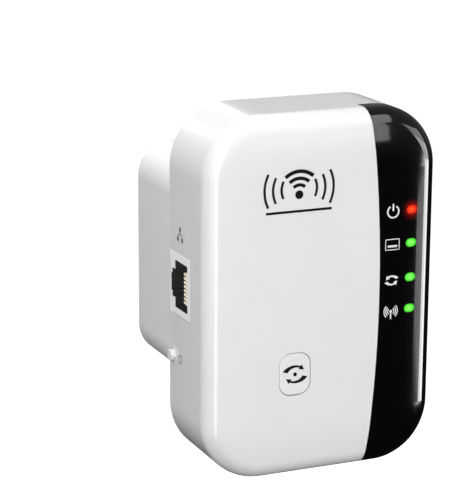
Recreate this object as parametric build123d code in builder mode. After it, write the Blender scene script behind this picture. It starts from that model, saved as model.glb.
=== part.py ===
"""Plug-in wireless range extender, built as an assembly of separate pieces, in millimetres.

The origin is the centre of the flat face that meets the wall socket. +Y points into the wall, so the
front of the case faces -Y, +X is to the right of someone who looks at the front, and +Z is up.
A depth, below, is a distance in front of the wall face: depth 10 is the plane y = -10.
"""

import os
from math import asin, cos, hypot, pi, radians, sin, sqrt, tan

from build123d import *

os.makedirs("parts", exist_ok=True)

# ---------------------------------------------------------------- driving dimensions
# Case
body_width = 61.0
body_height = 90.0
body_depth = 25.3  # back of the rim to the crown of the front face
corner_radius = 15.0
crown_radius = 4.7  # roll from the side walls up to the brow
brow_radius = 60.0  # gentle fall of the flat front towards the crown
brow_width = 8.0
wall = 2.4
body_drop = 3.2  # the case's centre hangs this far below the plug's centre
fit_gap = 0.15
seam_gap = 0.1

# Boss that carries the plug
boss_inset = 0.8  # its sides stand this far inside the case's sides
boss_height = 56.0
boss_depth = 24.0
boss_radius = 8.5
boss_wall = 2.2
boss_floor = 2.5
boss_edge_radius = 1.0

# Back plate and lip of the rear cover
rim = 0.9
rim_edge_radius = 0.6
plate = 2.0
lip_thickness = 1.2
lip_height = 2.5

# Dark lens over the right of the front
lens_thickness = 1.3
lens_inset = 15.8  # where its edge bows furthest to the right, this far from the right side
lens_edge_bow = 330.0
lens_wrap = 17.4  # it reaches back over the side walls to this distance from the rim's back

# Status lights
light_count = 4
light_pitch = 8.3
light_inset = 7.5  # from the case's right side
third_light_drop = 0.4  # the third light sits this much under its even place
light_top_z = 16.5
light_width = 2.9
light_height = 2.1
led_size = 1.6
led_height = 0.8

# Pairing button and its switch
button_x = -7.85
button_z = -21.65
button_width = 8.1
button_height = 10.4
button_radius = 3.0
button_gap = 0.2
button_travel = 0.4
flange_overhang = 1.0
flange_thickness = 0.9

# Reset button
reset_z = -20.5
reset_above_board = 1.6
reset_radius = 1.45
reset_proud = 1.0
reset_gap = 0.15
reset_travel = 0.3
reset_flange_width = 4.2
reset_flange_thickness = 0.8
moving_gap = 0.3
plunger_clear = 0.2  # left behind a switch's plunger when it is pressed right in

# Network jack, a standard eight-way socket
jack_z = -1.9
jack_width = 16.0
jack_height = 12.6
jack_length = 18.0
port_width = 11.9
port_height = 7.8
port_length = 14.0
port_above_base = 2.85
latch_steps = ((1.05, 7.2), (0.3, 4.6))  # (height above the base, width) of the latch slot's steps
jack_flush = 0.1  # its face lies this far inside the wall's outside
jack_gap = 0.2
contact_count = 8
contact_pitch = 1.02
contact_thickness = 0.3
contact_width = 0.46
contact_behind_mouth = 0.25  # a spring's bend, to its middle
contact_drop = 2.3  # from the port's ceiling side down to that bend's end

# Boards
board_thickness = 1.6
main_board_gap = 0.6  # all round, inside the boss
power_board_gap = 2.5  # at the sides, inside the boss
power_board_depth = 7.0
post_to_side = 4.0  # from the main board's sides to the middle of its posts
post_to_end = 4.4
post_beside_reset = 7.0  # the fourth post stands further in, clear of the reset switch
power_post_inset = 3.5
power_post_drop = 4.0
board_to_seam = 0.15  # the jack stands this far in front of the rim

# Plug blades, flat parallel pair
blade_spacing = 12.7
blade_width = 6.3
blade_thickness = 1.5
blade_length = 17.0
blade_tip_chamfer = 0.55
blade_hole_radius = 1.5
blade_hole_from_face = 11.7
blade_slot_gap = 0.05
blade_tail = 6.6  # reaches forward to this depth inside the boss
blade_shoulder_width = 8.6
blade_shoulder = 0.8
retainer_thickness = 1.5
retainer_width = 21.0
retainer_height = 22.0
stake_radius = 1.0
stake_z = 8.0
stake_head = 0.6
clip_thickness = 0.4

# Screws
cover_screw_gap = 0.4  # from the foot of a screw's post to the lip round the corner
cover_screw_radius = 1.12
cover_screw_length = 9.0
cover_head_radius = 2.1
cover_head_height = 1.6
post_radius = 3.0
screw_boss_height = 2.0
head_sink = 0.6
board_screw_radius = 0.95
board_screw_length = 5.0
board_head_radius = 1.8
board_head_height = 1.2
board_post_radius = 2.7
thread_gap = 0.03

# Vents in the back plate
vent_width = 1.6
vent_pitch = 3.6
vent_count = 8
upper_vent_height = 6.0
lower_vent_height = 9.0

# Antennas
antenna_width = 34.0
antenna_depth_size = 9.0
antenna_thickness = 0.8
antenna_inset = 5.8  # from the case's top and bottom to their inner faces
antenna_rib_x = 13.0
antenna_rib = 2.0
antenna_rib_height = 3.6
antenna_slot_depth = 7.0
antenna_tip_depth = 45.0  # their front edges
lead_radius = 0.55
lead_x = 2.0
lead_exit = 2.5
lead_rise = 4.2
lead_clear = 3.0
lead_bend = 2.0
lead_joint = 3.0
connector_z = 22.6
connector_size = 2.6
connector_height = 1.25

# Light guide
guide_thickness = 1.6
guide_front_gap = 3.2  # from the front face's crown to the carrier bar
peg_radius = 0.8
peg_shoulder_radius = 1.3
baffle_height = 6.5

# Switch under the pairing button
collar_wall = 1.2
collar_depth = 3.4  # from the front face to the collar's inner end
switch_size = 6.0
switch_body_height = 3.2
switch_height = 5.0
stem_width = 3.4
stem_web = 1.2

# Contact springs of the jack
carrier_gap = 0.05
contact_reach = 3.0  # how far the springs' free ends stand off the port's ceiling

# Screening can over the radio
shield_width = 16.0
shield_height = 15.0
shield_rise = 2.2
shield_sheet = 0.25

# Moulded chips
chip_chamfer = 0.12

# Transformer
transformer_x = 4.2
transformer_z = 1.6
core_width = 16.4
core_leg = 4.8
core_bar = 2.6
core_window = 7.8
former_length = 17.0
former_width = 11.2
former_height = 14.0
former_rail = 4.4
former_flange = 0.8

# Other power parts
choke_x = -9.6
choke_z = 0.4
disc_x = 9.4
disc_z = -10.6
sheet_inset = 2.0

# Power parts on the back board
link_pins = 4
link_pitch = 2.54
link_x = 15.0
link_z = -14.6
link_pin = 0.64
sheet_thickness = 0.4
sheet_gap = 0.05

# ---------------------------------------------------------------- places that follow from them
half_width = body_width / 2
half_height = body_height / 2
front_depth = boss_depth + body_depth
corner_x = half_width - corner_radius
corner_z = half_height - corner_radius
brow_angle = asin(brow_width / brow_radius)
flat_reach = corner_radius - crown_radius * (1 - sin(brow_angle)) - brow_width  # from a corner's axis
boss_width = body_width - 2 * boss_inset
cavity_width = boss_width - 2 * boss_wall
cavity_height = boss_height - 2 * boss_wall
main_board_width = cavity_width - 2 * main_board_gap
main_board_height = cavity_height - 2 * main_board_gap
lens_edge_x = half_width - lens_inset
light_x = half_width - light_inset
seam_depth = boss_depth + rim
plate_depth = boss_depth + plate
cover_back = seam_depth + seam_gap
board_front = seam_depth + board_to_seam
board_back = board_front - board_thickness
case_z = -body_drop
main_board_radius = boss_radius - boss_wall - main_board_gap
lens_back = boss_depth + lens_wrap
lens_seat = lens_thickness + 0.05
screw_foot_radius = post_radius + 0.4
screw_in_corner = (corner_radius - wall - fit_gap - lip_thickness - cover_screw_gap - screw_foot_radius) / sqrt(2)
cover_screw_x = corner_x + screw_in_corner
cover_screw_z = corner_z + screw_in_corner
screw_posts = [(x, case_z + z) for x in (-cover_screw_x, cover_screw_x) for z in (-cover_screw_z, cover_screw_z)]
screw_boss_front = plate_depth + screw_boss_height
head_seat = boss_depth + head_sink + cover_head_height
post_x = main_board_width / 2 - post_to_side
post_z = main_board_height / 2 - post_to_end
board_posts = [(-post_x, post_z), (post_x, post_z), (post_x, -post_z), (-post_x + post_beside_reset, -post_z)]
light_zs = [
    light_top_z - i * light_pitch - (third_light_drop if i == 2 else 0.0)
    for i in range(light_count)
]
reset_depth = board_front + reset_above_board
power_board_width = cavity_width - 2 * power_board_gap
power_board_height = 2 * (post_z - board_post_radius - main_board_gap)
power_post_x = power_board_width / 2 - power_post_inset
power_post_z = power_board_height / 2 - power_post_drop
power_posts = [(-power_post_x, -power_post_z), (power_post_x, power_post_z)]
sheet_width = power_board_width - 2 * sheet_inset
sheet_height = power_board_height - sheet_inset
power_front = power_board_depth + board_thickness
sheet_depth = board_back - sheet_gap - sheet_thickness
core_back = power_front + 0.6
former_rail_z = former_height / 2 - former_rail / 2
retainer_depth = boss_floor + blade_shoulder
antenna_zs = (
    case_z + half_height - antenna_inset,
    case_z - half_height + antenna_inset - antenna_thickness,
)
guide_front = front_depth - guide_front_gap - wall
guide_back = guide_front - guide_thickness
link_xs = [link_x + i * link_pitch for i in range(link_pins)]
contact_zs = [jack_z + (i - (contact_count - 1) / 2) * contact_pitch for i in range(contact_count)]
peg_zs = (light_zs[0] - light_pitch / 2, light_zs[2] - light_pitch / 2)


def layer(depth, x=0.0, z=0.0):
    """The plane parallel to the wall at this depth, facing the front."""
    return Plane(origin=(x, -depth, z), x_dir=(1, 0, 0), z_dir=(0, -1, 0))


def left_plane(x, depth=0.0, z=0.0):
    """The upright plane at x that faces left. Its first axis runs to the front, its second up."""
    return Plane(origin=(x, -depth, z), x_dir=(0, -1, 0), z_dir=(-1, 0, 0))


def face_depth(x, z):
    """Depth of the front's outside over the point x, z, which lies inside the crown."""
    aside = max(abs(x) - corner_x, 0)
    above = max(abs(z - case_z) - corner_z, 0)
    past_flat = max(hypot(aside, above) - flat_reach, 0)
    return front_depth - brow_radius + sqrt(brow_radius**2 - past_flat**2)


def on_arc(centre, radius, angle):
    """The point on an arc at this angle, measured from straight up towards the right."""
    return (centre[0] + radius * sin(angle), centre[1] + radius * cos(angle))


def save(piece, name):
    """Labels a finished piece and writes it as its own STEP file."""
    piece.label = name
    export_step(piece, f"parts/{name}.step")


def edge_profile(inset, back):
    """Section through the case's edge, from a corner's axis out to the wall, with its brow and crown."""
    height = front_depth - inset - back
    reach = corner_radius - inset
    brow, crown = brow_radius - inset, crown_radius - inset
    brow_centre = (flat_reach, height - brow)
    joint = on_arc(brow_centre, brow, brow_angle)
    crown_centre = (reach - crown, joint[1] - crown * cos(brow_angle))
    on_crown = on_arc(crown_centre, crown, (brow_angle + pi / 2) / 2)
    foot = (reach, crown_centre[1])
    plane = Plane(origin=(corner_x, -back, case_z + corner_z), x_dir=(1, 0, 0), z_dir=(0, 0, -1))
    with BuildSketch(plane) as profile:
        with BuildLine():
            Polyline((flat_reach, height), (0, height), (0, 0), (reach, 0), foot)
            ThreePointArc(foot, on_crown, joint)
            ThreePointArc(joint, on_arc(brow_centre, brow, brow_angle / 2), (flat_reach, height))
        make_face()
    return profile.sketch.faces()[0]


def case_form(inset, back):
    """The case's outside as a solid block, taken in by inset on the walls and the front, from back forwards."""
    profile = edge_profile(inset, back)
    corner_axis = Axis((corner_x, 0, case_z + corner_z), (0, 1, 0))
    with BuildPart() as form:
        revolve(profile, axis=corner_axis, revolution_arc=-90)
        extrude(profile, amount=corner_z, dir=(0, 0, -1))
        extrude(profile.rotate(corner_axis, -90), amount=corner_x, dir=(-1, 0, 0))
        with BuildSketch(layer(back, 0, case_z)):
            Rectangle(corner_x, corner_z, align=(Align.MIN, Align.MIN))
        extrude(amount=front_depth - inset - back)
        mirror(about=Plane.YZ)
        mirror(about=Plane.XY.offset(case_z))
    return form.part


def lens_region(back, gap):
    """Everything to the right of the lens's bowed edge and in front of back, cut larger by gap."""
    reach = body_height
    edge_x = lens_edge_x - gap
    bow = lens_edge_bow - sqrt(lens_edge_bow**2 - half_height**2)
    with BuildPart() as region:
        with BuildSketch(layer(back - gap, 0, case_z)):
            with BuildLine():
                edge = ThreePointArc(
                    (edge_x - bow, -half_height), (edge_x, 0), (edge_x - bow, half_height)
                )
                Polyline(
                    edge @ 1, (edge_x - bow, reach), (reach, reach), (reach, -reach), (edge_x - bow, -reach), edge @ 0
                )
            make_face()
        extrude(amount=front_depth)
    return region.part


def block(depth, x, z, width, height, thickness, radius=0.0):
    """A slab that stands on the plane at depth and is thickness deep towards the front."""
    with BuildPart() as slab:
        with BuildSketch(layer(depth, x, z)):
            if radius > 0:
                RectangleRounded(width, height, radius)
            else:
                Rectangle(width, height)
        extrude(amount=thickness)
    return slab.part


def rod(depth, x, z, radius, length):
    """A round bar that starts at depth and runs towards the front."""
    with BuildPart() as bar:
        with BuildSketch(layer(depth, x, z)):
            Circle(radius)
        extrude(amount=length)
    return bar.part


def chip(name, depth, x, z, width, height, thickness):
    """A moulded part that sits flat on a board whose front is at depth."""
    with BuildPart() as package:
        add(block(depth, x, z, width, height, thickness))
        chamfer(package.faces().sort_by(Axis.Y)[0].edges(), chip_chamfer)
    save(package.part, name)


# ---------------------------------------------------------------- case
def make_front_cover():
    with BuildPart() as cover:
        add(case_form(0, cover_back))
        add(lens_region(lens_back, fit_gap), mode=Mode.SUBTRACT)
        add(case_form(lens_seat, cover_back))
        add(case_form(wall, cover_back), mode=Mode.SUBTRACT)
        # Posts for the four cover screws
        for x, z in screw_posts:
            start = screw_boss_front + fit_gap
            add(rod(start, x, z, post_radius, face_depth(x, z) - wall + 0.5 - start))
            add(rod(start, x, z, cover_screw_radius + thread_gap, cover_screw_length), mode=Mode.SUBTRACT)
        # Collar that guides the pairing button, and the hole through it
        collar = collar_wall + button_gap
        start = face_depth(button_x, button_z) - collar_depth
        add(
            block(
                start, button_x, button_z, button_width + 2 * collar, button_height + 2 * collar,
                collar_depth - wall + 0.4, button_radius + collar,
            )
        )
        add(
            block(
                start, button_x, button_z, button_width + 2 * button_gap, button_height + 2 * button_gap,
                collar_depth + 1.0, button_radius + button_gap,
            ),
            mode=Mode.SUBTRACT,
        )
        # Slotted ribs that hold the two antenna boards
        for z in antenna_zs:
            middle = z + antenna_thickness / 2
            start = antenna_tip_depth - antenna_slot_depth
            for x in (-antenna_rib_x, antenna_rib_x):
                reach = face_depth(x, z) - wall + 0.5 - start
                add(block(start, x, middle, antenna_rib, antenna_rib_height, reach))
            add(
                block(start, 0, middle, antenna_width, antenna_thickness + 0.1, antenna_slot_depth),
                mode=Mode.SUBTRACT,
            )
        # Windows for the light guide, and the staked pegs that carry it
        for z in light_zs:
            add(light_slot(front_depth - 6.0, z, 10.0, 0.25), mode=Mode.SUBTRACT)
        for z in peg_zs:
            ceiling = face_depth(light_x, z) - wall + 0.5
            add(rod(guide_front, light_x, z, peg_shoulder_radius, ceiling - guide_front))
            add(rod(guide_back - stake_head, light_x, z, peg_radius, guide_thickness + stake_head + 0.2))
            add(rod(guide_back - stake_head, light_x, z, peg_shoulder_radius, stake_head))
        # Side openings for the network jack and the reset button
        with BuildSketch(left_plane(-half_width + wall + 1.0)):
            with Locations((board_front + jack_height / 2, jack_z)):
                Rectangle(jack_height + 2 * jack_gap, jack_width + 2 * jack_gap)
            with Locations((reset_depth, reset_z)):
                Circle(reset_radius + reset_gap)
        extrude(amount=wall + 2.0, mode=Mode.SUBTRACT)
    save(cover.part, "front_cover")


def boss_form():
    """The boss's outside, from the wall face to the front of the rim, with its back edge rounded."""
    with BuildPart() as boss:
        with BuildSketch(layer(0)):
            RectangleRounded(boss_width, boss_height, boss_radius)
        extrude(amount=seam_depth)
        fillet(boss.faces().sort_by(Axis.Y)[-1].edges(), boss_edge_radius)
    return boss.part


def make_rear_cover():
    inner_width = body_width - 2 * (wall + fit_gap)
    inner_height = body_height - 2 * (wall + fit_gap)
    inner_radius = corner_radius - wall - fit_gap
    with BuildPart() as cover:
        # Rim that closes the case, and the boss behind it, each with its back edge rounded
        with BuildSketch(layer(boss_depth, 0, case_z)):
            RectangleRounded(body_width, body_height, corner_radius)
        extrude(amount=rim)
        fillet(cover.faces().sort_by(Axis.Y)[-1].edges(), rim_edge_radius)
        add(boss_form())
        # Plate and lip inside the front cover's walls, above and below the boss
        with BuildSketch(layer(seam_depth - rim / 2, 0, case_z)):
            RectangleRounded(inner_width, inner_height, inner_radius)
        extrude(amount=plate - rim / 2)
        with BuildSketch(layer(plate_depth, 0, case_z)):
            RectangleRounded(inner_width, inner_height, inner_radius)
            offset(amount=-lip_thickness, mode=Mode.SUBTRACT)
        extrude(amount=lip_height)
        add(block(seam_depth, 0, 0, body_width, boss_height, plate + lip_height), mode=Mode.SUBTRACT)
        # Hollow of the boss
        add(
            block(
                boss_floor, 0, 0, cavity_width, cavity_height, boss_depth, boss_radius - boss_wall,
            ),
            mode=Mode.SUBTRACT,
        )
        # Bosses and sunk holes for the cover screws
        for x, z in screw_posts:
            add(rod(plate_depth - 0.5, x, z, screw_foot_radius, screw_boss_height + 0.5))
            add(rod(boss_depth, x, z, cover_screw_radius + fit_gap, 10.0), mode=Mode.SUBTRACT)
            add(rod(boss_depth, x, z, cover_head_radius + 0.2, head_seat - boss_depth), mode=Mode.SUBTRACT)
        # Posts for the two boards, with their screw holes
        for posts, top in ((board_posts, board_back), (power_posts, power_board_depth)):
            for x, z in posts:
                hole = min(board_screw_length, top - boss_floor)
                add(rod(boss_floor - 0.3, x, z, board_post_radius, top - boss_floor + 0.3))
                add(rod(top - hole, x, z, board_screw_radius + thread_gap, hole), mode=Mode.SUBTRACT)
        # Staked pegs that hold the blade retainer down
        for z in (-stake_z, stake_z):
            head = retainer_depth + retainer_thickness
            add(rod(boss_floor - 0.3, 0, z, stake_radius, head - boss_floor + 0.5))
            add(rod(head, 0, z, stake_radius + 0.6, stake_head))
            add(rod(boss_floor - 0.3, 0, z, stake_radius + 1.2, blade_shoulder + 0.3))
        # Slots for the plug blades
        for x in (-blade_spacing / 2, blade_spacing / 2):
            slot_width = blade_thickness + 2 * blade_slot_gap
            add(
                block(-1.0, x, 0, slot_width, blade_width + 2 * blade_slot_gap, boss_floor + 2.0),
                mode=Mode.SUBTRACT,
            )
        # Vent slots above and below the boss
        upper_z = (boss_height / 2 + case_z + half_height) / 2
        lower_z = (-boss_height / 2 + case_z - half_height) / 2
        for z, height in ((upper_z, upper_vent_height), (lower_z, lower_vent_height)):
            with BuildSketch(layer(boss_depth - 1.0, 0, z)):
                with GridLocations(vent_pitch, 0, vent_count, 1):
                    SlotOverall(height, vent_width, rotation=90)
            extrude(amount=plate + 2.0, mode=Mode.SUBTRACT)
    save(cover.part, "rear_cover")


def make_lens_panel():
    with BuildPart() as lens:
        add(case_form(0, cover_back))
        add(lens_region(lens_back, 0), mode=Mode.INTERSECT)
        add(case_form(lens_thickness, cover_back), mode=Mode.SUBTRACT)
        for z in light_zs:
            add(light_slot(front_depth - 6.0, z, 10.0, 0.05), mode=Mode.SUBTRACT)
    save(lens.part, "lens_panel")


def make_cover_screws():
    with BuildPart() as screws:
        for x, z in screw_posts:
            add(screw(head_seat, x, z, cover_screw_radius, cover_screw_length, cover_head_radius, cover_head_height, 1))
    save(screws.part, "cover_screws")


def screw(seat, x, z, radius, length, head_radius, head_height, way):
    """A self-tapping screw. Its head stands at seat and its shank runs forwards (way 1) or back (way -1)."""
    with BuildPart() as piece:
        with BuildSketch(Plane(origin=(x, -seat, z), x_dir=(1, 0, 0), z_dir=(0, -way, 0))):
            Circle(radius)
        extrude(amount=length)
        chamfer(piece.faces().sort_by(Axis.Y)[0 if way > 0 else -1].edges(), radius * 0.6)
        with BuildSketch(Plane(origin=(x, -seat, z), x_dir=(1, 0, 0), z_dir=(0, way, 0))):
            Circle(head_radius)
        extrude(amount=head_height)
        head_top = piece.faces().sort_by(Axis.Y)[-1 if way > 0 else 0]
        fillet(head_top.edges(), head_height * 0.4)
        # Cross recess
        with BuildSketch(Plane(origin=(x, -seat + way * head_height, z), x_dir=(1, 0, 0), z_dir=(0, -way, 0))):
            Rectangle(head_radius * 1.1, head_radius * 0.3)
            Rectangle(head_radius * 0.3, head_radius * 1.1)
        extrude(amount=head_height * 0.6, mode=Mode.SUBTRACT)
    return piece.part


# ---------------------------------------------------------------- lights
def light_slot(depth, z, length, gap):
    """An oval bar in line with the light at height z, cut larger all round by gap."""
    with BuildPart() as bar:
        with BuildSketch(layer(depth, light_x, z)):
            SlotOverall(light_width + 2 * gap, light_height + 2 * gap)
        extrude(amount=length)
    return bar.part


def make_light_guide():
    foot = board_front + led_height + 0.3
    middle = (light_zs[0] + light_zs[-1]) / 2
    height = light_zs[0] - light_zs[-1] + light_height + 2.0
    with BuildPart() as guide:
        add(block(guide_back, light_x, middle, light_width + 1.4, height, guide_thickness, 0.8))
        for z in light_zs:
            add(light_slot(foot, z, face_depth(light_x, z) - 0.1 - foot, 0.0))
        for z in peg_zs:
            add(rod(guide_back - 1.0, light_x, z, peg_radius + 0.05, guide_thickness + 2.0), mode=Mode.SUBTRACT)
    save(guide.part, "light_guide")


def make_light_baffle():
    middle = (light_zs[0] + light_zs[-1]) / 2
    height = light_zs[0] - light_zs[-1] + light_height + 2.0
    with BuildPart() as baffle:
        add(block(board_front, light_x, middle, light_width + 2.0, height, baffle_height, 0.5))
        for z in light_zs:
            add(light_slot(board_front - 1.0, z, baffle_height + 2.0, 0.2), mode=Mode.SUBTRACT)
    save(baffle.part, "light_baffle")


def make_status_leds():
    with BuildPart() as leds:
        for z in light_zs:
            add(block(board_front, light_x, z, led_size, led_size, led_height))
    save(leds.part, "status_leds")


# ---------------------------------------------------------------- buttons
def make_pairing_button():
    flange_front = face_depth(button_x, button_z) - collar_depth - moving_gap
    flange_back = flange_front - flange_thickness
    with BuildPart() as cap:
        add(block(flange_back, button_x, button_z, button_width, button_height, body_depth, button_radius))
        add(case_form(0, cover_back), mode=Mode.INTERSECT)
        fillet(cap.faces().sort_by(Axis.Y)[0].edges(), 0.25)
        over = 2 * flange_overhang
        add(
            block(
                flange_back, button_x, button_z, button_width + over, button_height + over,
                flange_thickness, button_radius + flange_overhang,
            )
        )
        # Hollow back, with a cross-shaped stem down to the switch
        hollow = face_depth(button_x, button_z) - 1.4 - flange_back
        add(
            block(
                flange_back, button_x, button_z, button_width - 2.4, button_height - 2.4,
                hollow, button_radius - 1.2,
            ),
            mode=Mode.SUBTRACT,
        )
        start = board_front + switch_height
        stem = flange_back + hollow + 0.3 - start
        add(block(start, button_x, button_z, stem_width, stem_web, stem))
        add(block(start, button_x, button_z, stem_web, stem_width, stem))
    save(cap.part, "pairing_button")


def make_pairing_switch():
    top = switch_body_height
    foot = board_front + 2.0
    with BuildPart() as body:
        add(block(board_front, button_x, button_z, switch_size, switch_size, top, 0.4))
        add(rod(foot - button_travel - plunger_clear, button_x, button_z, 2.3, top), mode=Mode.SUBTRACT)
    save(body.part, "pairing_switch_body")
    with BuildPart() as plate_cover:
        add(block(board_front + top, button_x, button_z, switch_size, switch_size, 0.3, 0.4))
        add(rod(board_front + 1.0, button_x, button_z, 1.75, top), mode=Mode.SUBTRACT)
    save(plate_cover.part, "pairing_switch_cover")
    with BuildPart() as plunger:
        add(rod(foot, button_x, button_z, 1.7, board_front + switch_height - foot))
        add(rod(foot, button_x, button_z, 2.1, 0.8))
    save(plunger.part, "pairing_switch_plunger")


def make_reset_button():
    outer = half_width + reset_proud
    flange_x = half_width - wall - moving_gap
    flange_low = board_front + moving_gap
    flange_high = reset_depth + reset_flange_width / 2
    with BuildPart() as cap:
        with BuildSketch(left_plane(-flange_x)):
            with Locations((reset_depth, reset_z)):
                Circle(reset_radius)
        extrude(amount=outer - flange_x)
        fillet(cap.faces().sort_by(Axis.X)[0].edges(), 0.3)
        with BuildSketch(left_plane(-flange_x + reset_flange_thickness)):
            with Locations(((flange_low + flange_high) / 2, reset_z)):
                Rectangle(flange_high - flange_low, reset_flange_width)
        extrude(amount=reset_flange_thickness)
    save(cap.part, "reset_button")


def make_reset_switch():
    flange_back = half_width - wall - moving_gap - reset_flange_thickness
    front = flange_back - 0.8
    length = 3.4
    sunk = 1.6
    bore = sunk + reset_travel + plunger_clear
    with BuildPart() as body:
        add(block(board_front, -front + length / 2, reset_z, length, 5.2, 3.2))
        with BuildSketch(left_plane(-front + bore)):
            with Locations((reset_depth, reset_z)):
                Circle(0.85)
        extrude(amount=bore, mode=Mode.SUBTRACT)
    save(body.part, "reset_switch_body")
    with BuildPart() as plunger:
        with BuildSketch(left_plane(-front + sunk)):
            with Locations((reset_depth, reset_z)):
                Circle(0.8)
        extrude(amount=sunk + 0.8)
    save(plunger.part, "reset_switch_plunger")
    with BuildPart() as bracket:
        x = -front + length / 2
        add(block(board_front, x, reset_z, length - 0.8, 5.2 + 0.6, 3.5))
        add(block(board_front, x, reset_z, length, 5.2, 3.2), mode=Mode.SUBTRACT)
    save(bracket.part, "reset_switch_bracket")


# ---------------------------------------------------------------- network jack
def make_jack():
    mouth = -half_width + jack_flush
    back = mouth + jack_length
    port_floor = board_front + port_above_base
    middle = board_front + jack_height / 2
    with BuildPart() as housing:
        add(block(board_front, mouth + jack_length / 2, jack_z, jack_length, jack_width, jack_height, 0.4))
        with BuildSketch(left_plane(mouth + port_length)):
            with Locations((port_floor + port_height / 2, jack_z)):
                Rectangle(port_height, port_width)
            for step, width in latch_steps:
                with Locations((board_front + (step + port_above_base) / 2, jack_z)):
                    Rectangle(port_above_base - step, width)
        extrude(amount=port_length, mode=Mode.SUBTRACT)
        # Pocket at the back for the contact carrier, open to the port and to the board
        with BuildSketch(left_plane(back)):
            with Locations((middle - 0.6, jack_z)):
                Rectangle(jack_height - 1.2, jack_width - 2.4)
        extrude(amount=jack_length - port_length, mode=Mode.SUBTRACT)
    save(housing.part, "jack_housing")
    with BuildPart() as carrier:
        with BuildSketch(left_plane(back)):
            with Locations((middle - 0.6, jack_z)):
                Rectangle(jack_height - 1.2 - 2 * carrier_gap, jack_width - 2.4 - 2 * carrier_gap)
        extrude(amount=jack_length - port_length - carrier_gap)
        for z in contact_zs:
            add(contact(z, contact_thickness + 0.04, contact_width + 0.04), mode=Mode.SUBTRACT)
    save(carrier.part, "jack_contact_carrier")
    with BuildPart() as contacts:
        for z in contact_zs:
            add(contact(z, contact_thickness, contact_width))
    save(contacts.part, "jack_contacts")


def contact(z, thickness, width):
    """One spring contact: up from the board, along the port's ceiling, and folded back into the port."""
    mouth = -half_width + jack_flush
    ceiling = board_front + port_above_base + port_height - 0.25
    leg_x = mouth + jack_length - 1.6
    path = [
        (leg_x, -board_back),
        (leg_x, -ceiling),
        (mouth + contact_behind_mouth, -ceiling),
        (mouth + contact_behind_mouth, -ceiling + contact_drop),
        (mouth + 11.0, -ceiling + contact_reach),
    ]
    with BuildPart() as spring:
        with BuildSketch(Plane.XY.offset(z - width / 2)):
            with BuildLine():
                FilletPolyline(*path, radius=0.3)
            trace(line_width=thickness)
        extrude(amount=width)
    return spring.part


# ---------------------------------------------------------------- main board
def make_main_board():
    leg_x = -half_width + jack_flush + jack_length - 1.6
    with BuildPart() as board:
        add(block(board_back, 0, 0, main_board_width, main_board_height, board_thickness, main_board_radius))
        for x, z in board_posts:
            add(rod(board_back - 1.0, x, z, board_screw_radius + 0.15, 4.0), mode=Mode.SUBTRACT)
        for z in contact_zs:
            add(rod(board_back - 1.0, leg_x, z, 0.34, 4.0), mode=Mode.SUBTRACT)
        for x in link_xs:
            add(rod(board_back - 1.0, x, link_z, 0.5, 4.0), mode=Mode.SUBTRACT)
    save(board.part, "main_board")


def make_main_board_parts():
    chip("processor", board_front, 9.0, 8.0, 10.0, 10.0, 0.9)
    chip("memory_chip", board_front, 9.5, -5.0, 5.2, 4.0, 1.4)
    chip("network_transformer", board_front, -5.0, -1.9, 7.2, 12.0, 3.0)
    chip("clock_crystal", board_front, 2.6, -4.5, 2.5, 3.2, 0.8)
    chip("voltage_regulator", board_front, 8.5, -11.5, 3.0, 3.0, 1.1)
    chip("power_inductor", board_front, 13.5, -11.5, 4.2, 4.2, 2.0)
    with BuildPart() as can:
        add(block(board_front, 9.0, 8.0, shield_width, shield_height, shield_rise, 0.5))
        fillet(can.faces().sort_by(Axis.Y)[0].edges(), 0.3)
        add(
            block(
                board_front, 9.0, 8.0, shield_width - 2 * shield_sheet, shield_height - 2 * shield_sheet,
                shield_rise - shield_sheet, 0.3,
            ),
            mode=Mode.SUBTRACT,
        )
    save(can.part, "radio_shield")
    with BuildPart() as resistors:
        for z in light_zs:
            add(block(board_front, light_x - 4.0, z, 0.8, 1.6, 0.45))
        for i in range(4):
            add(block(board_front, 0.5 + 2.0 * i, -8.5, 0.8, 1.6, 0.45))
        for i in range(3):
            add(block(board_front, -9.0 + 2.4 * i, -12.5, 0.8, 1.6, 0.45))
    save(resistors.part, "chip_resistors")
    with BuildPart() as capacitors:
        for i in range(4):
            add(block(board_front, 4.0 + 3.3 * i, 19.0, 1.0, 2.0, 0.9))
        for i in range(3):
            add(block(board_front, 3.2 + 2.2 * i, -14.6, 1.2, 2.0, 1.0))
        for i in range(3):
            add(block(board_front, 16.6, -2.5 - 2.6 * i, 1.2, 2.0, 1.0))
    save(capacitors.part, "ceramic_capacitors")


# ---------------------------------------------------------------- antennas
def bend_radii(route):
    """The largest arcs that the runs of a lead leave room for, one at each inner point."""
    points = [Vector(*point) for point in route]
    radii = []
    for before, here, after in zip(points, points[1:], points[2:]):
        turn = radians((here - before).get_angle(after - here))
        shorter = min((here - before).length, (after - here).length)
        radii.append(0.45 * shorter / tan(turn / 2))
    return radii


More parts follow.
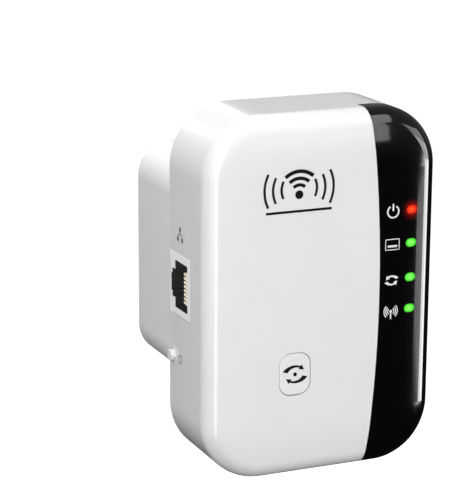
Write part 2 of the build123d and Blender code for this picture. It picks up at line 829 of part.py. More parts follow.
def make_antennas():
    back = antenna_tip_depth - antenna_depth_size
    for name, z in zip(("upper_antenna", "lower_antenna"), antenna_zs):
        with BuildPart() as board:
            with BuildSketch(Plane.XY.offset(z)):
                with Locations((0, -(antenna_tip_depth - antenna_depth_size / 2))):
                    Rectangle(antenna_width, antenna_depth_size)
            extrude(amount=antenna_thickness)
            chamfer(board.edges().filter_by(Axis.Z), 0.6)
        save(board.part, name)
    for name, way, z in (("upper_antenna_lead", 1, antenna_zs[0]), ("lower_antenna_lead", -1, antenna_zs[1])):
        inner = z if way > 0 else z + antenna_thickness
        touch = inner - way * lead_radius
        start_z = way * (connector_z + connector_size / 2)
        lead_depth = board_front + connector_height / 2 + 0.1
        route = [
            (lead_x, -lead_depth, start_z),
            (lead_x, -lead_depth, start_z + way * lead_exit),
            (lead_x, -(lead_depth + lead_rise), way * (boss_height / 2 + lead_clear)),
            (lead_x, -(back - lead_bend), touch),
            (lead_x, -(back + lead_joint), touch),
        ]
        with BuildPart() as lead:
            with BuildLine():
                FilletPolyline(*route, radius=bend_radii(route))
            with BuildSketch(Plane(origin=route[0], z_dir=(0, 0, way))):
                Circle(lead_radius)
            sweep()
        save(lead.part, name)
    with BuildPart() as connectors:
        for z in (-connector_z, connector_z):
            add(block(board_front, lead_x, z, connector_size, connector_size, connector_height))
    save(connectors.part, "antenna_connectors")


# ---------------------------------------------------------------- power parts
def make_power_board():
    with BuildPart() as board:
        add(block(power_board_depth, 0, 0, power_board_width, power_board_height, board_thickness, 1.5))
        for x, z in power_posts:
            add(rod(power_board_depth - 1.0, x, z, board_screw_radius + 0.15, 4.0), mode=Mode.SUBTRACT)
        for x in link_xs:
            add(rod(power_board_depth - 1.0, x, link_z, 0.5, 4.0), mode=Mode.SUBTRACT)
    save(board.part, "power_board")


def make_board_screws():
    with BuildPart() as screws:
        for posts, seat in ((board_posts, board_front), (power_posts, power_front)):
            for x, z in posts:
                add(
                    screw(
                        seat, x, z, board_screw_radius, board_screw_length,
                        board_head_radius, board_head_height, -1,
                    )
                )
    save(screws.part, "board_screws")


def standing_can(name, places, radius, height):
    """Round capacitors that stand on the power board, with a rolled groove near the foot."""
    with BuildPart() as cans:
        for x, z in places:
            add(can_form(x, z, radius, height))
    save(cans.part, name)


def can_form(x, z, radius, height):
    with BuildPart() as can:
        add(rod(power_front, x, z, radius, height))
        fillet(can.faces().sort_by(Axis.Y)[0].edges(), 0.4)
        with BuildSketch(layer(power_front + 1.2, x, z)):
            Circle(radius + 1)
            Circle(radius - 0.25, mode=Mode.SUBTRACT)
        extrude(amount=0.7, mode=Mode.SUBTRACT)
    return can.part


def make_power_parts():
    standing_can("input_capacitors", [(-9.8, 11.6), (-18.9, 11.6)], 4.2, 12.0)
    standing_can("output_capacitors", [(19.6, 4.4), (19.6, -3.4)], 3.4, 11.0)
    # Transformer: a coil former, the taped winding on it, and the glued ferrite core through both
    x, z = transformer_x, transformer_z
    flange = core_back + core_bar + 0.05
    tube = core_window - 0.1
    with BuildPart() as former:
        for side in (-1, 1):
            add(block(power_front, x, z + side * former_rail_z, former_length, former_rail, flange - power_front))
        add(block(flange, x, z, former_width, former_height, former_flange))
        add(block(flange + tube - former_flange, x, z, former_width, former_height, former_flange))
        add(block(flange, x, z, core_leg + 1.5, core_leg + 1.5, tube))
        add(block(flange - 1.0, x, z, core_leg + 0.2, core_leg + 0.2, tube + 2.0), mode=Mode.SUBTRACT)
    save(former.part, "coil_former")
    with BuildPart() as winding:
        start = flange + former_flange
        turns = tube - 2 * former_flange
        add(block(start, x, z, former_width - 0.5, former_height - 0.8, turns, 2.4))
        add(block(start - 1.0, x, z, core_leg + 1.5, core_leg + 1.5, turns + 2.0), mode=Mode.SUBTRACT)
    save(winding.part, "transformer_winding")
    with BuildPart() as core:
        height = core_window + 2 * core_bar
        add(block(core_back, x, z, core_width, core_leg, height))
        inner = core_width - core_leg
        add(block(core_back + core_bar, x, z, inner, core_leg + 1.0, core_window), mode=Mode.SUBTRACT)
        add(block(core_back, x, z, core_leg, core_leg, height))
    save(core.part, "transformer_core")
    # Rectifier, choke, controller and the other parts on the power board
    chip("bridge_rectifier", power_front, -19.0, 0.4, 6.4, 7.6, 3.2)
    chip("power_controller", power_front, -1.4, -10.4, 6.0, 4.9, 1.6)
    chip("signal_isolator", power_front, 7.6, 13.4, 4.6, 6.4, 3.4)
    with BuildPart() as choke:
        x, z = choke_x, choke_z
        add(rod(power_front, x, z, 4.0, 1.4))
        add(rod(power_front, x, z, 3.0, 9.0))
        add(rod(power_front + 7.6, x, z, 4.0, 1.4))
    save(choke.part, "line_choke")
    with BuildPart() as disc:
        with BuildSketch(Plane(origin=(disc_x, -(power_front + 5.0), disc_z), z_dir=(0, 0, 1))):
            Circle(4.2)
        extrude(amount=1.6, both=True)
        fillet(disc.edges().filter_by(GeomType.CIRCLE), 1.1)
        for side in (-2.6, 2.6):
            add(rod(power_front, disc_x + side, disc_z, 0.3, 3.0))
    save(disc.part, "suppression_capacitor")
    axial("fuse_resistor", -12.0, -9.4, 1.6, 8.0, 12.0)
    axial("output_diode", 17.6, -9.6, 1.5, 5.0, 9.0)
    # Link between the boards, and the sheet that keeps the two apart
    middle = (link_xs[0] + link_xs[-1]) / 2
    with BuildPart() as pins:
        for x in link_xs:
            start = power_board_depth - 0.8
            add(block(start, x, link_z, link_pin, link_pin, board_front + 0.8 - start))
    save(pins.part, "link_pins")
    with BuildPart() as header:
        add(block(power_front, middle, link_z, link_pins * link_pitch, 2.5, 2.5))
        for x in link_xs:
            add(block(power_front - 1.0, x, link_z, link_pin + 0.04, link_pin + 0.04, 5.0), mode=Mode.SUBTRACT)
    save(header.part, "link_header")
    with BuildPart() as sheet:
        add(block(sheet_depth, 0, 0, sheet_width, sheet_height, sheet_thickness, 2.0))
        add(block(sheet_depth - 1.0, middle, link_z, link_pins * link_pitch, 1.8, 4.0), mode=Mode.SUBTRACT)
    save(sheet.part, "insulating_sheet")


def barrel(x, depth, z, radius, length):
    """A round body that lies along X, with rounded ends."""
    with BuildPart() as body:
        with BuildSketch(Plane(origin=(x - length / 2, -depth, z), z_dir=(1, 0, 0))):
            Circle(radius)
        extrude(amount=length)
        fillet(body.edges().filter_by(GeomType.CIRCLE), 0.4)
    return body.part


def axial(name, x, z, radius, length, span):
    """A round part that lies over the power board on its own bent leads."""
    height = power_front + radius + 0.4
    with BuildPart() as part:
        with BuildLine() as run:
            FilletPolyline(
                (x - span / 2, -power_front, z),
                (x - span / 2, -height, z),
                (x + span / 2, -height, z),
                (x + span / 2, -power_front, z),
                radius=0.7,
            )
        with BuildSketch(Plane(origin=run.line @ 0, z_dir=run.line % 0)):
            Circle(0.3)
        sweep()
        add(barrel(x, height, z, radius, length))
    save(part.part, name)


def make_blades():
    for name, side in (("left_blade", -1), ("right_blade", 1)):
        x = side * blade_spacing / 2
        with BuildPart() as blade:
            add(block(-blade_length, x, 0, blade_thickness, blade_width, blade_length + blade_tail))
            tip = blade.faces().sort_by(Axis.Y)[-1]
            chamfer(tip.edges(), blade_tip_chamfer)
            add(block(boss_floor, x, 0, blade_thickness, blade_shoulder_width, blade_shoulder))
            with BuildSketch(Plane.YZ.offset(x - blade_thickness)):
                with Locations((blade_hole_from_face, 0)):
                    Circle(blade_hole_radius)
            extrude(amount=2 * blade_thickness, mode=Mode.SUBTRACT)
        save(blade.part, name)
    with BuildPart() as retainer:
        add(block(retainer_depth, 0, 0, retainer_width, retainer_height, retainer_thickness, 2.0))
        for x in (-blade_spacing / 2, blade_spacing / 2):
            add(
                block(retainer_depth - 1.0, x, 0, blade_thickness + 0.2, blade_width + 0.2, 5.0),
                mode=Mode.SUBTRACT,
            )
        for z in (-stake_z, stake_z):
            add(rod(retainer_depth - 1.0, 0, z, stake_radius + 0.05, 5.0), mode=Mode.SUBTRACT)
    save(retainer.part, "blade_retainer")
    with BuildPart() as clips:
        for x in (-blade_spacing / 2, blade_spacing / 2):
            depth = retainer_depth + retainer_thickness + 0.3
            outer = blade_thickness + 2 * clip_thickness
            add(block(depth, x, 0, outer, 5.0, power_board_depth - depth))
            add(block(depth, x, 0, blade_thickness, 5.0, blade_tail - depth), mode=Mode.SUBTRACT)
            add(block(power_board_depth - clip_thickness, x, 0, 5.0, 5.0, clip_thickness))
    save(clips.part, "blade_clips")


make_front_cover()
make_rear_cover()
make_lens_panel()
make_cover_screws()
make_light_guide()
make_light_baffle()
make_status_leds()
make_pairing_button()
make_pairing_switch()
make_reset_button()
make_reset_switch()
make_jack()
make_main_board()
make_main_board_parts()
make_antennas()
make_power_board()
make_board_screws()
make_power_parts()
make_blades()
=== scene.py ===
"""Looks of a plug-in wireless range extender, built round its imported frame. All lengths are metres."""

from math import cos, pi, radians, sin

import bmesh
import bpy
from mathutils import Matrix, Vector
from mathutils.bvhtree import BVHTree


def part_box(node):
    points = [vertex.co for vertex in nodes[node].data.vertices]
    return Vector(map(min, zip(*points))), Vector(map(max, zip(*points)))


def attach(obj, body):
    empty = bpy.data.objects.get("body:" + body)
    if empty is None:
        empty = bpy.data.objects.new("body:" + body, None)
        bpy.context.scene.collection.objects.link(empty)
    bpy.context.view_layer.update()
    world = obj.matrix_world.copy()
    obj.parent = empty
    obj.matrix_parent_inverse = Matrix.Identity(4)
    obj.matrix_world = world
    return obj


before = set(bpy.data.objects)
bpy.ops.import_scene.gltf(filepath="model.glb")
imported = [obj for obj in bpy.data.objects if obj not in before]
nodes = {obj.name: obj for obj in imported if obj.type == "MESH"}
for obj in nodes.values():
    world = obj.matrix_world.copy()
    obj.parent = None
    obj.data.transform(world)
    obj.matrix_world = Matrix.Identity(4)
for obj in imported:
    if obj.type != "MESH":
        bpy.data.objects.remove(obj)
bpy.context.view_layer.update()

MM = 0.001


# ================================================================ materials
def start_finish(name, colour, roughness, metallic=0.0, ior=1.46):
    """A new material with its constant values set on the shader. Returns the material and its shader."""
    material = bpy.data.materials.new(name)
    material.use_nodes = True
    shader = material.node_tree.nodes["Principled BSDF"]
    shader.inputs["Base Color"].default_value = (*colour, 1.0)
    shader.inputs["Roughness"].default_value = roughness
    shader.inputs["Metallic"].default_value = metallic
    shader.inputs["IOR"].default_value = ior
    return material, shader


def add_node(tree, kind, **settings):
    node = tree.nodes.new(kind)
    for key, value in settings.items():
        setattr(node, key, value)
    return node


def object_place(tree, stretch=(1.0, 1.0, 1.0), turn=(0.0, 0.0, 0.0)):
    """Object coordinates, stretched and turned by a Mapping node."""
    place = add_node(tree, "ShaderNodeTexCoord")
    mapping = add_node(tree, "ShaderNodeMapping")
    mapping.inputs["Scale"].default_value = stretch
    mapping.inputs["Rotation"].default_value = turn
    tree.links.new(place.outputs["Object"], mapping.inputs["Vector"])
    return mapping.outputs["Vector"]


def speckle(tree, grain, detail=3.0, stretch=(1.0, 1.0, 1.0)):
    """Noise whose features are about grain across, as a value from 0 to 1."""
    noise = add_node(tree, "ShaderNodeTexNoise")
    noise.inputs["Scale"].default_value = 1.0 / grain
    noise.inputs["Detail"].default_value = detail
    tree.links.new(object_place(tree, stretch), noise.inputs["Vector"])
    return noise.outputs["Fac"]


def spread(tree, value, low, high, start=0.3, end=0.7):
    """Remaps a noise value onto the range from low to high."""
    remap = add_node(tree, "ShaderNodeMapRange")
    remap.inputs["From Min"].default_value = start
    remap.inputs["From Max"].default_value = end
    remap.inputs["To Min"].default_value = low
    remap.inputs["To Max"].default_value = high
    tree.links.new(value, remap.inputs["Value"])
    return remap.outputs["Result"]


def tint(tree, value, first, second):
    """Blends two colours by a value."""
    mix = add_node(tree, "ShaderNodeMix", data_type="RGBA")
    mix.inputs["A"].default_value = (*first, 1.0)
    mix.inputs["B"].default_value = (*second, 1.0)
    tree.links.new(value, mix.inputs["Factor"])
    return mix.outputs["Result"]


def emboss(tree, shader, value, height):
    """Raises the surface by height where value is 1."""
    bump = add_node(tree, "ShaderNodeBump")
    bump.inputs["Strength"].default_value = 1.0
    bump.inputs["Distance"].default_value = height
    tree.links.new(value, bump.inputs["Height"])
    tree.links.new(bump.outputs["Normal"], shader.inputs["Normal"])


def shade_of(colour, factor):
    return tuple(min(1.0, c * factor) for c in colour)


def moulded(name, colour, roughness, grain, depth, variation):
    """Moulded plastic: a fine surface grain, slow colour drift in the melt and slightly uneven gloss."""
    material, shader = start_finish(name, colour, roughness)
    tree = material.node_tree
    drift = spread(tree, speckle(tree, 9 * MM, 2.0), 0.0, 1.0, 0.2, 0.8)
    tree.links.new(
        tint(tree, drift, shade_of(colour, 1 - variation), shade_of(colour, 1 + variation)),
        shader.inputs["Base Color"],
    )
    handling = speckle(tree, 6.0 * MM, 1.5)
    tree.links.new(
        spread(tree, handling, roughness * 0.93, roughness * 1.07, 0.2, 0.8), shader.inputs["Roughness"]
    )
    emboss(tree, shader, speckle(tree, grain, 2.0), depth)
    return material


def plated(name, colour, roughness, stretch=(1.0, 1.0, 1.0), grain=0.2 * MM, depth=0.001 * MM):
    """Plated or bare metal with drawn or rolled lines along the axis that stretch keeps small."""
    material, shader = start_finish(name, colour, roughness, metallic=1.0)
    tree = material.node_tree
    stain = spread(tree, speckle(tree, 2.5 * MM, 4.0), 0.0, 1.0)
    tree.links.new(
        tint(tree, stain, shade_of(colour, 0.86), shade_of(colour, 1.06)), shader.inputs["Base Color"]
    )
    lines = speckle(tree, grain, 3.0, stretch)
    tree.links.new(
        spread(tree, lines, roughness * 0.75, roughness * 1.3), shader.inputs["Roughness"]
    )
    emboss(tree, shader, lines, depth)
    return material


def circuit_laminate(name, mask, copper, pitch):
    """Solder mask over tracks: a stepped cell pattern stands in relief and shows lighter through the mask."""
    material, shader = start_finish(name, mask, 0.38)
    tree = material.node_tree
    cells = add_node(tree, "ShaderNodeTexVoronoi", feature="DISTANCE_TO_EDGE", distance="CHEBYCHEV")
    cells.inputs["Scale"].default_value = 1.0 / pitch
    cells.inputs["Randomness"].default_value = 0.55
    tree.links.new(object_place(tree), cells.inputs["Vector"])
    track = spread(tree, cells.outputs["Distance"], 1.0, 0.0, 0.10, 0.13)
    tree.links.new(tint(tree, track, mask, copper), shader.inputs["Base Color"])
    tree.links.new(spread(tree, speckle(tree, 1.2 * MM), 0.3, 0.45), shader.inputs["Roughness"])
    emboss(tree, shader, track, 0.03 * MM)
    return material


def case_gloss():
    """White moulding of the front cover: a satin gloss over a barely visible orange-peel skin."""
    material = moulded("white_case_gloss", (0.80, 0.805, 0.81), 0.24, 0.9 * MM, 0.0015 * MM, 0.012)
    shader = material.node_tree.nodes["Principled BSDF"]
    shader.inputs["Coat Weight"].default_value = 0.35
    shader.inputs["Coat Roughness"].default_value = 0.12
    return material


def black_acrylic():
    """Polished black panel, with a painted red glow round the top lamp's window that stands in for the light
    spreading round it.
    """
    colour = (0.0012, 0.0012, 0.0014)
    material, shader = start_finish("black_acrylic", colour, 0.13, ior=1.58)
    shader.inputs["Coat Weight"].default_value = 1.0
    shader.inputs["Coat Roughness"].default_value = 0.07
    tree = material.node_tree
    haze = speckle(tree, 6 * MM, 2.0)
    tree.links.new(spread(tree, haze, 0.07, 0.10, 0.2, 0.8), shader.inputs["Roughness"])
    hairlines = speckle(tree, 0.5 * MM, 2.0, (1.0, 1.0, 0.05))
    emboss(tree, shader, hairlines, 0.0002 * MM)
    # Painted light: the panel emits a red glow that fades away from the top lamp's window.
    lamp = lamp_centres()[0]
    place = add_node(tree, "ShaderNodeTexCoord")
    away = add_node(tree, "ShaderNodeVectorMath", operation="DISTANCE")
    away.inputs[1].default_value = lamp
    tree.links.new(place.outputs["Object"], away.inputs[0])
    window_radius = 0.9 * MM
    painted_halo_radius = 3.4 * MM
    fall_off = 3.0
    near = spread(tree, away.outputs["Value"], 1.0, 0.0, window_radius, painted_halo_radius)
    painted_halo = add_node(tree, "ShaderNodeMath", operation="POWER")
    painted_halo.inputs[1].default_value = fall_off
    tree.links.new(near, painted_halo.inputs[0])
    glow = painted_halo.outputs["Value"]
    tree.links.new(tint(tree, glow, (0.0, 0.0, 0.0), (0.36, 0.005, 0.003)), shader.inputs["Emission Color"])
    shader.inputs["Emission Strength"].default_value = 1.0
    return material


def contact_plating_and_painted_glow():
    """Pale gold plating of the spring contacts, with a faint painted glow so that they read in the dark port.
    """
    material = plated("gold_contact", (0.98, 0.90, 0.68), 0.45, (0.1, 1.0, 1.0), 0.08 * MM)
    shader = material.node_tree.nodes["Principled BSDF"]
    shader.inputs["Metallic"].default_value = 0.1
    # Painted glow: the contacts emit a faint light of their own.
    shader.inputs["Emission Color"].default_value = (1.0, 0.93, 0.72, 1.0)
    shader.inputs["Emission Strength"].default_value = 0.15
    return material


def away_from_lamps(tree):
    """Distance to the nearest lamp, counted longer upward than sideways so that the lit spots look oval."""
    shape = Vector((1.0, 0.3, 1.35))
    place = add_node(tree, "ShaderNodeTexCoord")
    squeezed = add_node(tree, "ShaderNodeVectorMath", operation="MULTIPLY")
    squeezed.inputs[1].default_value = shape
    tree.links.new(place.outputs["Object"], squeezed.inputs[0])
    nearest = None
    for lamp in lamp_centres():
        away = add_node(tree, "ShaderNodeVectorMath", operation="DISTANCE")
        away.inputs[1].default_value = lamp * shape
        tree.links.new(squeezed.outputs["Vector"], away.inputs[0])
        if nearest is None:
            nearest = away.outputs["Value"]
            continue
        closer = add_node(tree, "ShaderNodeMath", operation="MINIMUM")
        tree.links.new(nearest, closer.inputs[0])
        tree.links.new(away.outputs["Value"], closer.inputs[1])
        nearest = closer.outputs["Value"]
    return nearest


def mixed(tree, factor, low, high):
    """Colour socket that goes from one colour socket to another."""
    mix = add_node(tree, "ShaderNodeMix", data_type="RGBA")
    tree.links.new(factor, mix.inputs["Factor"])
    tree.links.new(low, mix.inputs["A"])
    tree.links.new(high, mix.inputs["B"])
    return mix.outputs["Result"]


def lit_guide():
    """Clear light guide with frosted tips: one red on top, the others green, each paler in its middle."""
    material, shader = start_finish("lit_light_guide", (0.75, 0.8, 0.76), 0.3)
    tree = material.node_tree
    lamps = lamp_centres()
    place = add_node(tree, "ShaderNodeTexCoord")
    split = add_node(tree, "ShaderNodeSeparateXYZ")
    tree.links.new(place.outputs["Object"], split.inputs["Vector"])
    border = (lamps[0].z + lamps[1].z) / 2
    blur = 0.05 * MM
    upper = spread(tree, split.outputs["Z"], 0.0, 1.0, border - blur, border + blur)
    grain = spread(tree, speckle(tree, 0.7 * MM, 2.0), 0.0, 1.0)
    away = away_from_lamps(tree)
    edge = spread(tree, away, 0.0, 1.0, 1.0 * MM, 1.6 * MM)
    middle = spread(tree, away, 1.0, 0.0, 0.1 * MM, 1.1 * MM)
    green = tint(tree, grain, (0.07, 0.66, 0.03), (0.13, 0.86, 0.06))
    red = tint(tree, grain, (0.62, 0.012, 0.002), (0.80, 0.028, 0.004))
    glow = mixed(tree, upper, green, red)
    core = mixed(tree, upper, tint(tree, grain, (0.26, 0.95, 0.13), (0.36, 1.0, 0.20)),
                 tint(tree, grain, (1.0, 0.09, 0.012), (1.0, 0.13, 0.02)))
    rim = mixed(tree, upper, tint(tree, grain, (0.012, 0.20, 0.008), (0.02, 0.26, 0.012)),
                tint(tree, grain, (0.25, 0.004, 0.002), (0.32, 0.006, 0.003)))
    lit = mixed(tree, edge, mixed(tree, middle, glow, core), rim)
    tree.links.new(lit, shader.inputs["Emission Color"])
    tree.links.new(rim, shader.inputs["Base Color"])
    shader.inputs["Emission Strength"].default_value = 1.0
    shader.inputs["Specular IOR Level"].default_value = 0.15
    tree.links.new(spread(tree, grain, 0.25, 0.4), shader.inputs["Roughness"])
    return material


def jack_with_painted_port_shade():
    """Jack shell: white outside and on its frame, with painted shade: every wall of the port is coloured
    nearly black for the shade deep in it.
    """
    low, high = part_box("jack_housing")
    # The second colour is painted shade for the walls of the port.
    white, dark = (0.93, 0.93, 0.925), (0.024, 0.023, 0.023)
    material, shader = start_finish("jack_shell", white, 0.38)
    tree = material.node_tree
    place = add_node(tree, "ShaderNodeTexCoord")
    split = add_node(tree, "ShaderNodeSeparateXYZ")
    tree.links.new(place.outputs["Object"], split.inputs["Vector"])
    skin = 0.3 * MM
    face_skin = 0.03 * MM
    soft = 0.01 * MM
    bounds = (
        ("X", low.x + face_skin, 1), ("Y", low.y + skin, 1), ("Y", high.y - 0.5 * skin, -1),
        ("Z", low.z + skin, 1), ("Z", high.z - skin, -1),
    )
    port_shade_mask = None
    for axis, limit, way in bounds:
        past = spread(tree, split.outputs[axis], 0.0, 1.0, limit - way * soft, limit + way * soft)
        if port_shade_mask is None:
            port_shade_mask = past
            continue
        both = add_node(tree, "ShaderNodeMath", operation="MULTIPLY")
        tree.links.new(port_shade_mask, both.inputs[0])
        tree.links.new(past, both.inputs[1])
        port_shade_mask = both.outputs["Value"]
    # Painted shade: the port's walls take the near-black colour.
    tree.links.new(tint(tree, port_shade_mask, white, dark), shader.inputs["Base Color"])
    tree.links.new(spread(tree, speckle(tree, 1.5 * MM), 0.34, 0.48), shader.inputs["Roughness"])
    emboss(tree, shader, speckle(tree, 0.25 * MM, 2.0), 0.002 * MM)
    return material


def lamp_centres():
    """Middles of the four light-guide tips in the panel, from the top one down."""
    low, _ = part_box("light_guide")
    tip_depth = 0.6 * MM
    tip_gap = 2.0 * MM
    front = [v.co for v in nodes["light_guide"].data.vertices if v.co.y < low.y + tip_depth]
    tips = []
    for point in sorted(front, key=lambda p: -p.z):
        if not tips or tips[-1][-1].z - point.z > tip_gap:
            tips.append([])
        tips[-1].append(point)
    x = (min(p.x for p in front) + max(p.x for p in front)) / 2
    return [Vector((x, low.y, (tip[0].z + tip[-1].z) / 2)) for tip in tips]


def paint(material, *names):
    """Gives CAD nodes a material."""
    for name in names:
        for slot in nodes[name].material_slots:
            slot.material = material


def paint_case():
    paint(case_gloss(), "front_cover")
    paint(moulded("white_case_satin", (0.78, 0.785, 0.79), 0.36, 0.35 * MM, 0.006 * MM, 0.012), "rear_cover")
    paint(moulded("white_key", (0.80, 0.805, 0.81), 0.26, 0.6 * MM, 0.0015 * MM, 0.012), "pairing_button")
    paint(moulded("white_reset_key", (0.82, 0.82, 0.82), 0.32, 0.5 * MM, 0.002 * MM, 0.012), "reset_button")
    paint(black_acrylic(), "lens_panel")
    paint(lit_guide(), "light_guide")
    paint(jack_with_painted_port_shade(), "jack_housing")


def paint_metal():
    along_blade = (1.0, 0.04, 1.0)
    paint(
        plated("nickel_blade", (0.71, 0.69, 0.65), 0.24, along_blade, 0.25 * MM),
        "left_blade", "right_blade",
    )
    paint(contact_plating_and_painted_glow(), "jack_contacts")
    paint(plated("gold_pin", (0.90, 0.70, 0.36), 0.26), "link_pins", "antenna_connectors")
    paint(
        plated("zinc_screw", (0.62, 0.63, 0.64), 0.33, (1.0, 1.0, 1.0), 0.15 * MM),
        "cover_screws", "board_screws",
    )
    paint(
        plated("tinned_sheet", (0.72, 0.72, 0.71), 0.3, (0.15, 1.0, 1.0), 0.3 * MM),
        "radio_shield", "pairing_switch_cover", "reset_switch_bracket", "clock_crystal",
    )
    paint(plated("spring_brass", (0.83, 0.63, 0.32), 0.3, (1.0, 0.1, 1.0)), "blade_clips")


def paint_inside():
    black = moulded("black_moulding", (0.022, 0.022, 0.024), 0.5, 0.2 * MM, 0.004 * MM, 0.2)
    paint(
        black,
        "light_baffle", "jack_contact_carrier", "pairing_switch_body", "reset_switch_body",
        "coil_former", "link_header", "blade_retainer",
    )
    epoxy = moulded("epoxy_package", (0.02, 0.02, 0.022), 0.55, 0.12 * MM, 0.006 * MM, 0.25)
    paint(
        epoxy,
        "processor", "memory_chip", "network_transformer", "voltage_regulator",
        "bridge_rectifier", "power_controller", "output_diode",
    )
    paint(
        moulded("switch_plunger", (0.09, 0.09, 0.095), 0.45, 0.15 * MM, 0.003 * MM, 0.1),
        "pairing_switch_plunger", "reset_switch_plunger",
    )
    laminate = circuit_laminate("green_laminate", (0.012, 0.11, 0.045), (0.05, 0.24, 0.09), 2.4 * MM)
    paint(laminate, "main_board", "power_board", "upper_antenna", "lower_antenna")
    paint(
        moulded("lead_jacket", (0.03, 0.03, 0.03), 0.42, 0.3 * MM, 0.004 * MM, 0.2),
        "upper_antenna_lead", "lower_antenna_lead",
    )
    paint(
        moulded("ferrite", (0.06, 0.06, 0.065), 0.62, 0.18 * MM, 0.012 * MM, 0.25),
        "transformer_core", "line_choke", "power_inductor",
    )
    paint(
        moulded("capacitor_sleeve", (0.018, 0.026, 0.07), 0.28, 1.2 * MM, 0.006 * MM, 0.15),
        "input_capacitors", "output_capacitors",
    )
    paint(
        moulded("polyester_tape", (0.80, 0.56, 0.07), 0.35, 0.8 * MM, 0.008 * MM, 0.1),
        "transformer_winding",
    )
    paint(moulded("dipped_disc", (0.04, 0.17, 0.46), 0.3, 1.5 * MM, 0.02 * MM, 0.12), "suppression_capacitor")
    paint(moulded("resistor_coat", (0.16, 0.32, 0.20), 0.5, 0.25 * MM, 0.012 * MM, 0.15), "fuse_resistor")
    paint(moulded("chip_resistor", (0.03, 0.03, 0.034), 0.4, 0.1 * MM, 0.002 * MM, 0.2), "chip_resistors")
    paint(moulded("tan_ceramic", (0.44, 0.29, 0.16), 0.5, 0.1 * MM, 0.002 * MM, 0.12), "ceramic_capacitors")
    paint(
        moulded("isolator_package", (0.72, 0.70, 0.64), 0.45, 0.15 * MM, 0.004 * MM, 0.05),
        "signal_isolator",
    )
    paint(moulded("fibre_sheet", (0.72, 0.69, 0.58), 0.7, 0.3 * MM, 0.015 * MM, 0.07), "insulating_sheet")
    paint(moulded("lamp_epoxy", (0.8, 0.82, 0.7), 0.25, 0.3 * MM, 0.002 * MM, 0.05), "status_leds")


# ================================================================ printed marks
INK_SUNK = 0.04 * MM
INK_PROUD = 0.03 * MM
INK_THICKNESS = INK_SUNK + INK_PROUD
ARC_POINTS = 33
LONGEST_STROKE_PART = 1.0 * MM  # so that a line can follow a curved surface
DISC_CORNERS = 24
WELD = 0.001 * MM
OUTSIDE = -1.0  # where the rays that find a surface start


def ink(name, colour, roughness):
    """Screen-printed ink with faint mesh texture and slightly uneven cover."""
    material, shader = start_finish(name, colour, roughness)
    tree = material.node_tree
    cover = spread(tree, speckle(tree, 0.6 * MM, 4.0), 0.0, 1.0)
    tree.links.new(
        tint(tree, cover, shade_of(colour, 0.92), shade_of(colour, 1.05)), shader.inputs["Base Color"]
    )
    tree.links.new(spread(tree, cover, roughness * 0.9, roughness * 1.15), shader.inputs["Roughness"])
    emboss(tree, shader, speckle(tree, 0.12 * MM, 1.0), 0.001 * MM)
    shader.inputs["Specular IOR Level"].default_value = 0.15
    return material


def tree_input(tree, name, kind, value=None):
    socket = tree.interface.new_socket(name=name, in_out="INPUT", socket_type=kind)
    if value is not None:
        socket.default_value = value
    return socket.identifier


def arc_set_tree():
    """Geometry Nodes: concentric arcs of one stroke width, each a step larger than the last."""
    tree = bpy.data.node_groups.new("arc_set", "GeometryNodeTree")
    tree.interface.new_socket(name="Geometry", in_out="OUTPUT", socket_type="NodeSocketGeometry")
    names = {
        "Count": tree_input(tree, "Count", "NodeSocketInt", 3),
        "First Radius": tree_input(tree, "First Radius", "NodeSocketFloat", 0.002),
        "Step": tree_input(tree, "Step", "NodeSocketFloat", 0.001),
        "Start": tree_input(tree, "Start", "NodeSocketFloat", 0.0),
        "Sweep": tree_input(tree, "Sweep", "NodeSocketFloat", 1.0),
        "Stroke": tree_input(tree, "Stroke", "NodeSocketFloat", 0.0005),
        "Thickness": tree_input(tree, "Thickness", "NodeSocketFloat", 0.0001),
        "Ink": tree_input(tree, "Ink", "NodeSocketMaterial"),
    }
    group_in = add_node(tree, "NodeGroupInput")
    group_out = add_node(tree, "NodeGroupOutput")
    link = tree.links.new
    points = add_node(tree, "GeometryNodePoints")
    link(group_in.outputs["Count"], points.inputs["Count"])
    index = add_node(tree, "GeometryNodeInputIndex")
    step = add_node(tree, "ShaderNodeMath", operation="MULTIPLY_ADD")
    link(index.outputs["Index"], step.inputs[0])
    link(group_in.outputs["Step"], step.inputs[1])
    link(group_in.outputs["First Radius"], step.inputs[2])
    arc = add_node(tree, "GeometryNodeCurveArc", mode="RADIUS")
    arc.inputs["Resolution"].default_value = ARC_POINTS
    arc.inputs["Radius"].default_value = 1.0
    link(group_in.outputs["Start"], arc.inputs["Start Angle"])
    link(group_in.outputs["Sweep"], arc.inputs["Sweep Angle"])
    place = add_node(tree, "GeometryNodeInstanceOnPoints")
    link(points.outputs["Points"], place.inputs["Points"])
    link(arc.outputs["Curve"], place.inputs["Instance"])
    link(step.outputs["Value"], place.inputs["Scale"])
    curves = add_node(tree, "GeometryNodeRealizeInstances")
    link(place.outputs["Instances"], curves.inputs["Geometry"])
    finish_strokes(tree, group_in, group_out, curves.outputs["Geometry"])
    return tree, names


def stroke_tree():
    """Geometry Nodes: sweeps a stroke of constant width along the edges it is given."""
    tree = bpy.data.node_groups.new("ink_stroke", "GeometryNodeTree")
    tree.interface.new_socket(name="Geometry", in_out="OUTPUT", socket_type="NodeSocketGeometry")
    names = {
        "Geometry": tree_input(tree, "Geometry", "NodeSocketGeometry"),
        "Stroke": tree_input(tree, "Stroke", "NodeSocketFloat", 0.0005),
        "Thickness": tree_input(tree, "Thickness", "NodeSocketFloat", 0.0001),
        "Ink": tree_input(tree, "Ink", "NodeSocketMaterial"),
    }
    group_in = add_node(tree, "NodeGroupInput")
    group_out = add_node(tree, "NodeGroupOutput")
    curves = add_node(tree, "GeometryNodeMeshToCurve")
    tree.links.new(group_in.outputs["Geometry"], curves.inputs["Mesh"])
    finish_strokes(tree, group_in, group_out, curves.outputs["Curve"])
    return tree, names


